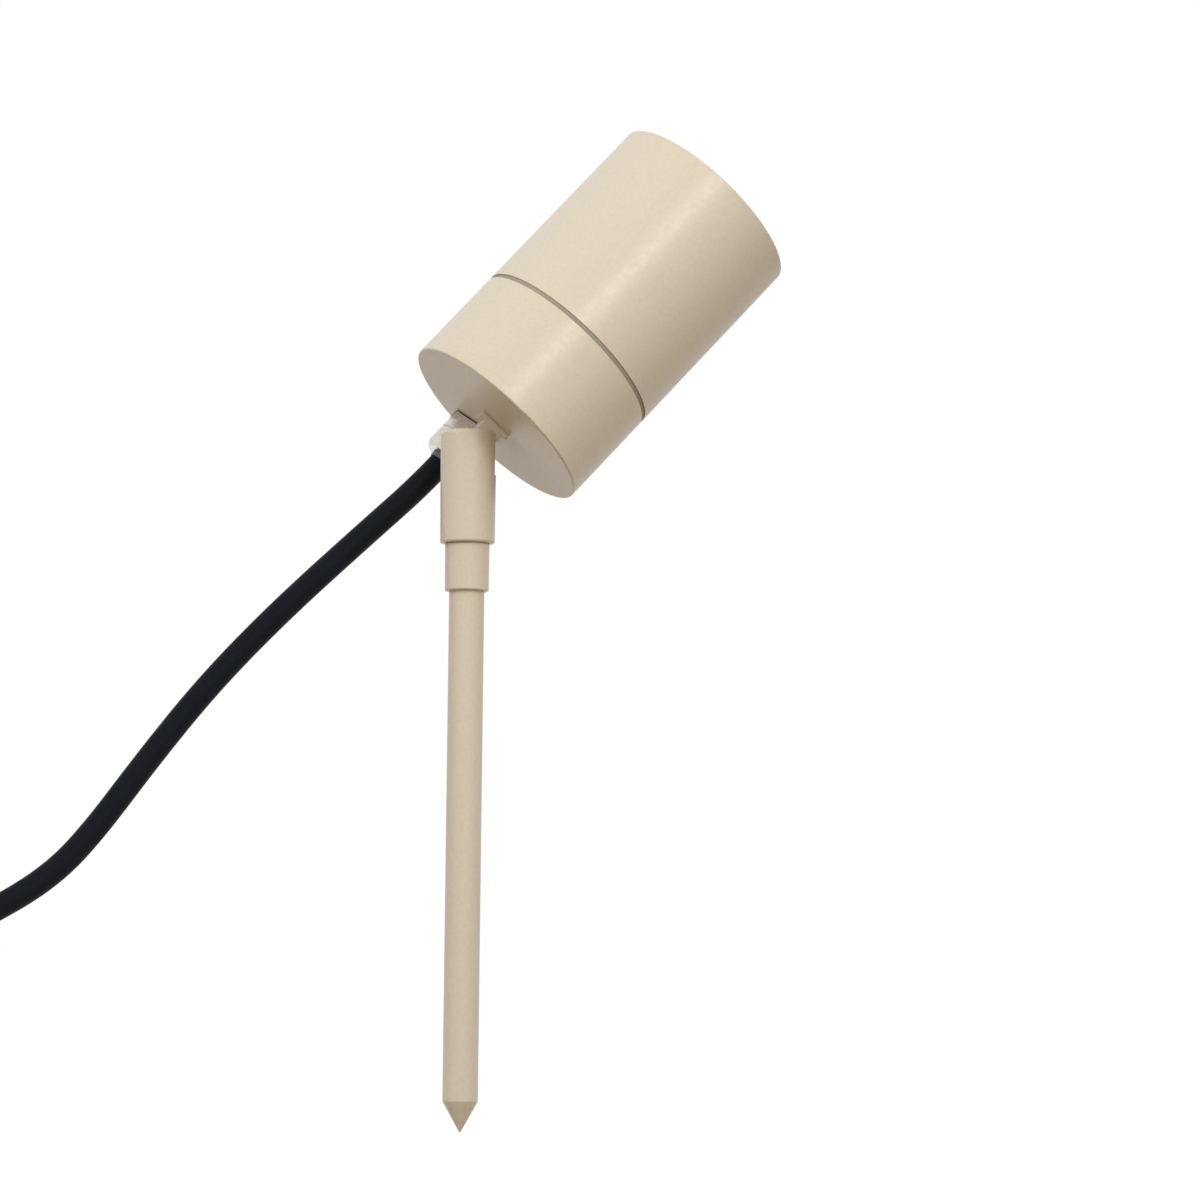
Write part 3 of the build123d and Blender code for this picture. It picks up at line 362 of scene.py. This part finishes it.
cord_line = smooth_line("cord_line", cord_route, 0)
cord_path = [tuple(vertex.co) for vertex in cord_line.vertices]
cord_mesh = smooth_line("supply_cord", cord_route, CORD_R)
supply_cord = bpy.data.objects.new("supply_cord", cord_mesh)
bpy.context.scene.collection.objects.link(supply_cord)
dress(supply_cord, rubber)
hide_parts("cord", "cord_hank")
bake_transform(supply_cord)

# ---- floor, light and background ------------------------------------------------------------

FLOOR_SIZE = 30
FLOOR_DROP = 0.05 * MM  # keeps the floor clear of what lies on it
FLOOR_GLOW = 0.45
FLOOR_PALE = 0.8
AMBIENT = 0.7


def sees_backdrop(tree):
    """1 for camera, glossy and transmission rays, which see the plain white backdrop."""
    paths = tree.nodes.new("ShaderNodeLightPath").outputs
    total = paths["Is Camera Ray"]
    for kind in ("Is Glossy Ray", "Is Transmission Ray"):
        either = tree.nodes.new("ShaderNodeMath")
        either.operation = "MAXIMUM"
        tree.links.new(total, either.inputs[0])
        tree.links.new(paths[kind], either.inputs[1])
        total = either.outputs[0]
    return total


bpy.ops.mesh.primitive_plane_add(size=FLOOR_SIZE, location=(0, 0, GROUND_Z - FLOOR_DROP))
floor = bpy.context.object
floor.name = "floor"
ground = Surface("pale_floor", 0.9)
ground.colours((150, 131, 107), (154, 135, 111), 300 * MM)
seen = sees_backdrop(ground.tree)
glow = ground.node("ShaderNodeEmission")
glow.inputs["Strength"].default_value = FLOOR_GLOW
pale = ground.node("ShaderNodeBsdfDiffuse")
pale.inputs["Color"].default_value = (FLOOR_PALE, FLOOR_PALE, FLOOR_PALE, 1)
pale_floor = ground.node("ShaderNodeAddShader")  # near white where lit, and it keeps the shadow
to_camera = ground.node("ShaderNodeMixShader")
ground.link(glow.outputs[0], pale_floor.inputs[0])
ground.link(pale.outputs[0], pale_floor.inputs[1])
ground.link(seen, to_camera.inputs[0])
ground.link(ground.shader.outputs[0], to_camera.inputs[1])
ground.link(pale_floor.outputs[0], to_camera.inputs[2])
ground.link(to_camera.outputs[0], ground.tree.nodes["Material Output"].inputs["Surface"])
floor.data.materials.append(ground.material)


def lamp(name, azimuth, elevation, distance, size, power, target=Vector((0.03, 0, 0.2))):
    """Square area light: azimuth 0 is at the camera's side (-Y), 90 on +X."""
    a, e = radians(azimuth), radians(elevation)
    way = Vector((sin(a) * cos(e), -cos(a) * cos(e), sin(e)))
    light = bpy.data.lights.new(name, "AREA")
    light.size = size
    light.energy = power
    holder = bpy.data.objects.new(name, light)
    holder.location = target + way * distance
    holder.rotation_mode = "QUATERNION"
    holder.rotation_quaternion = (-way).to_track_quat("-Z", "Y")
    bpy.context.scene.collection.objects.link(holder)
    return holder


key = lamp("key", azimuth=-34, elevation=38, distance=1.1, size=0.7, power=4.4)
key.visible_glossy = False  # the sheen lamp alone makes the head's bright band
lamp("sheen", azimuth=2, elevation=23, distance=1.1, size=0.25, power=2.7)

world = bpy.data.worlds.new("studio")
bpy.context.scene.world = world
world.use_nodes = True
tree = world.node_tree
backdrop = tree.nodes["Background"]
backdrop.inputs["Color"].default_value = (1, 1, 1, 1)
ambient = tree.nodes.new("ShaderNodeBackground")
ambient.inputs["Color"].default_value = (1, 1, 1, 1)
ambient.inputs["Strength"].default_value = AMBIENT
by_ray = tree.nodes.new("ShaderNodeMixShader")
tree.links.new(sees_backdrop(tree), by_ray.inputs[0])
tree.links.new(ambient.outputs[0], by_ray.inputs[1])
tree.links.new(backdrop.outputs[0], by_ray.inputs[2])
tree.links.new(by_ray.outputs[0], tree.nodes["World Output"].inputs["Surface"])

# ---- camera ---------------------------------------------------------------------------------

azimuth, rise, roll = map(radians, (CAMERA_AZIMUTH, CAMERA_RISE, CAMERA_ROLL))
forward = Vector((sin(azimuth) * cos(rise), cos(azimuth) * cos(rise), sin(rise)))
level_right = Vector((cos(azimuth), -sin(azimuth), 0))
level_up = level_right.cross(forward)
right = level_right * cos(roll) + level_up * sin(roll)
up = level_up * cos(roll) - level_right * sin(roll)
camera_data = bpy.data.cameras.new("photo_camera")
camera_data.lens = CAMERA_LENS
camera_data.sensor_width = SENSOR
camera_data.clip_start = 0.05
camera = bpy.data.objects.new("photo_camera", camera_data)
camera.matrix_world = Matrix.Translation(CAMERA_PLACE) @ Matrix((right, up, -forward)).transposed().to_4x4()
bpy.context.scene.collection.objects.link(camera)
bpy.context.scene.camera = camera
bpy.context.scene.view_settings.view_transform = "Standard"
